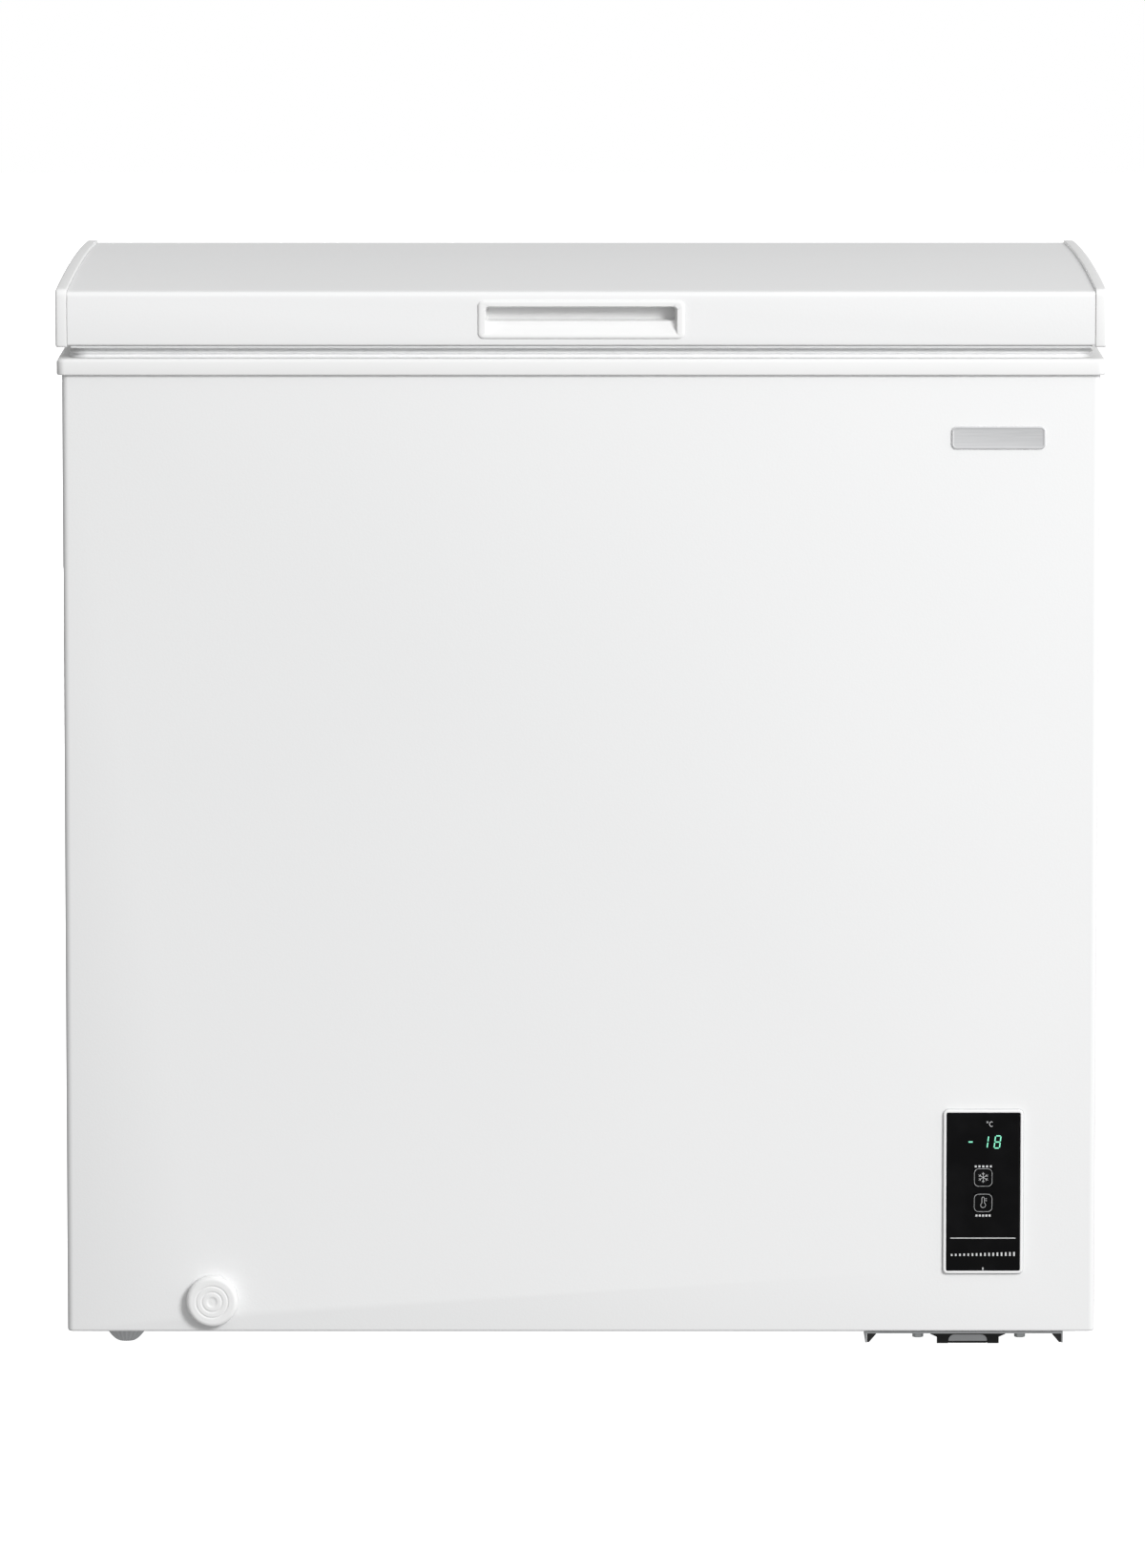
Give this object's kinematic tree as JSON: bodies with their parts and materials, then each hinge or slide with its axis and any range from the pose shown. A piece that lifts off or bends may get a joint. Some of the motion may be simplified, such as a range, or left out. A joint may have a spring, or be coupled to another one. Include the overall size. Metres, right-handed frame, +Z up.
{
  "type": "chest freezer",
  "caption": "White top-opening chest freezer with sprung hinged lid, recessed lid grip, digital control panel, sliding wire basket, pull-out drain and rear machine bay.",
  "frame": {"origin": "middle of the footprint, on the floor that the feet stand on", "axes": "+X to the right seen from the front, +Y to the rear, +Z up; the front faces -Y"},
  "size_m": [0.825, 0.5698, 0.85],
  "materials": {
    "white_steel": "satin",
    "white_plastic": "satin",
    "liner_plastic": "satin",
    "coated_wire": "satin",
    "foam": "matte",
    "galvanised": "satin",
    "zinc": "satin",
    "spring_steel": "satin",
    "motor_iron": "matte",
    "black_paint": "satin",
    "copper": "satin",
    "coated_tube": "satin",
    "aluminium_tube": "satin",
    "bright_plate": "polished",
    "gloss_black": "gloss",
    "circuit_board": "satin",
    "grey_plastic": "satin",
    "black_plastic": "matte",
    "grey_rubber": "matte",
    "black_rubber": "matte"
  },
  "bodies": {
    "cabinet": {"outer_shell": "white_steel", "top_collar": "white_plastic", "control_bezel": "white_plastic", "inner_liner": "liner_plastic", "insulation_foam": "foam", "back_panel": "galvanised", "floor_plate": "galvanised", "compressor_tray": "galvanised", "rear_grille": "galvanised", "hinge_base_left": "zinc", "hinge_base_right": "zinc", "hinge_pin_left": "zinc", "hinge_pin_right": "zinc", "mount_bolt_1": "zinc", "mount_bolt_2": "zinc", "mount_bolt_3": "zinc", "mount_bolt_4": "zinc", "tray_screw_left": "zinc", "tray_screw_right": "zinc", "hinge_spring_left": "spring_steel", "hinge_spring_right": "spring_steel", "compressor_motor": "motor_iron", "compressor_shell_lower": "black_paint", "compressor_shell_upper": "black_paint", "capillary_tube": "copper", "filter_drier": "copper", "condenser_coil": "coated_tube", "evaporator_coil": "aluminium_tube", "badge": "bright_plate", "control_window": "gloss_black", "control_board": "circuit_board", "drain_pipe": "grey_plastic", "control_box": "grey_plastic", "relay_cover": "black_plastic", "tray_foot_front": "black_rubber", "tray_foot_rear": "black_rubber", "mount_grommet_1": "black_rubber", "mount_grommet_2": "black_rubber", "mount_grommet_3": "black_rubber", "mount_grommet_4": "black_rubber", "cable_gland": "black_rubber"},
    "lid": {"lid_skin": "white_steel", "lid_foam": "foam", "lid_liner": "liner_plastic", "lid_gasket": "grey_rubber", "lid_end_cap_left": "white_plastic", "lid_end_cap_right": "white_plastic", "lid_handle": "white_plastic", "hinge_arm_left": "white_steel", "hinge_arm_right": "white_steel"},
    "hinge_plunger_left": {"hinge_plunger_left": "black_plastic"},
    "hinge_plunger_right": {"hinge_plunger_right": "black_plastic"},
    "basket": {"basket": "coated_wire"},
    "drain_spout": {"drain_spout": "grey_plastic"},
    "drain_knob": {"drain_knob": "white_plastic"},
    "drain_plug": {"drain_plug": "white_plastic"},
    "super_button": {"super_button": "gloss_black"},
    "temp_button": {"temp_button": "gloss_black"},
    "left_foot_front": {"left_foot_front": "grey_rubber"},
    "left_foot_rear": {"left_foot_rear": "grey_rubber"}
  },
  "joints": [
    {"name": "lid_hinge", "type": "hinge", "parent": "cabinet", "child": "lid", "pos_m": [0, 0.2729, 0.795], "axis": [-1, 0, 0], "range_deg": [0, 80], "stiffness_Nm_per_rad": 7, "springref_deg": 80.21},
    {"name": "plunger_left_slide", "type": "slide", "parent": "cabinet", "child": "hinge_plunger_left", "axis": [0, 0, 1], "range_m": [0, 0.007], "deforming": ["hinge_spring_left"]},
    {"name": "plunger_right_slide", "type": "slide", "parent": "cabinet", "child": "hinge_plunger_right", "axis": [0, 0, 1], "range_m": [0, 0.007], "deforming": ["hinge_spring_right"]},
    {"name": "basket_slide", "type": "slide", "parent": "cabinet", "child": "basket", "axis": [1, 0, 0], "range_m": [-0.39, 0]},
    {"name": "drain_slide", "type": "slide", "parent": "cabinet", "child": "drain_spout", "axis": [0, -1, 0], "range_m": [0, 0.045]},
    {"name": "drain_turn", "type": "hinge", "parent": "drain_spout", "child": "drain_knob", "pos_m": [-0.2928, -0.2751, 0.0404], "axis": [0, -1, 0], "range_deg": [0, 180]},
    {"name": "drain_plug_pull", "type": "slide", "parent": "cabinet", "child": "drain_plug", "axis": [0, 0, 1], "range_m": [0, 0.05]},
    {"name": "super_press", "type": "slide", "parent": "cabinet", "child": "super_button", "axis": [0, 1, 0], "range_m": [0, 0.0006], "stiffness_N_per_m": 1500, "springref_m": -0.0005},
    {"name": "temp_press", "type": "slide", "parent": "cabinet", "child": "temp_button", "axis": [0, 1, 0], "range_m": [0, 0.0006], "stiffness_N_per_m": 1500, "springref_m": -0.0005},
    {"name": "left_foot_front_screw", "type": "slide", "parent": "cabinet", "child": "left_foot_front", "axis": [0, 0, -1], "range_m": [0, 0.01]},
    {"name": "left_foot_rear_screw", "type": "slide", "parent": "cabinet", "child": "left_foot_rear", "axis": [0, 0, -1], "range_m": [0, 0.01]}
  ],
  "couplings": [
    {"joint": "plunger_left_slide", "follows": "lid_hinge", "m_per_rad": 0.005},
    {"joint": "plunger_right_slide", "follows": "lid_hinge", "m_per_rad": 0.005}
  ]
}
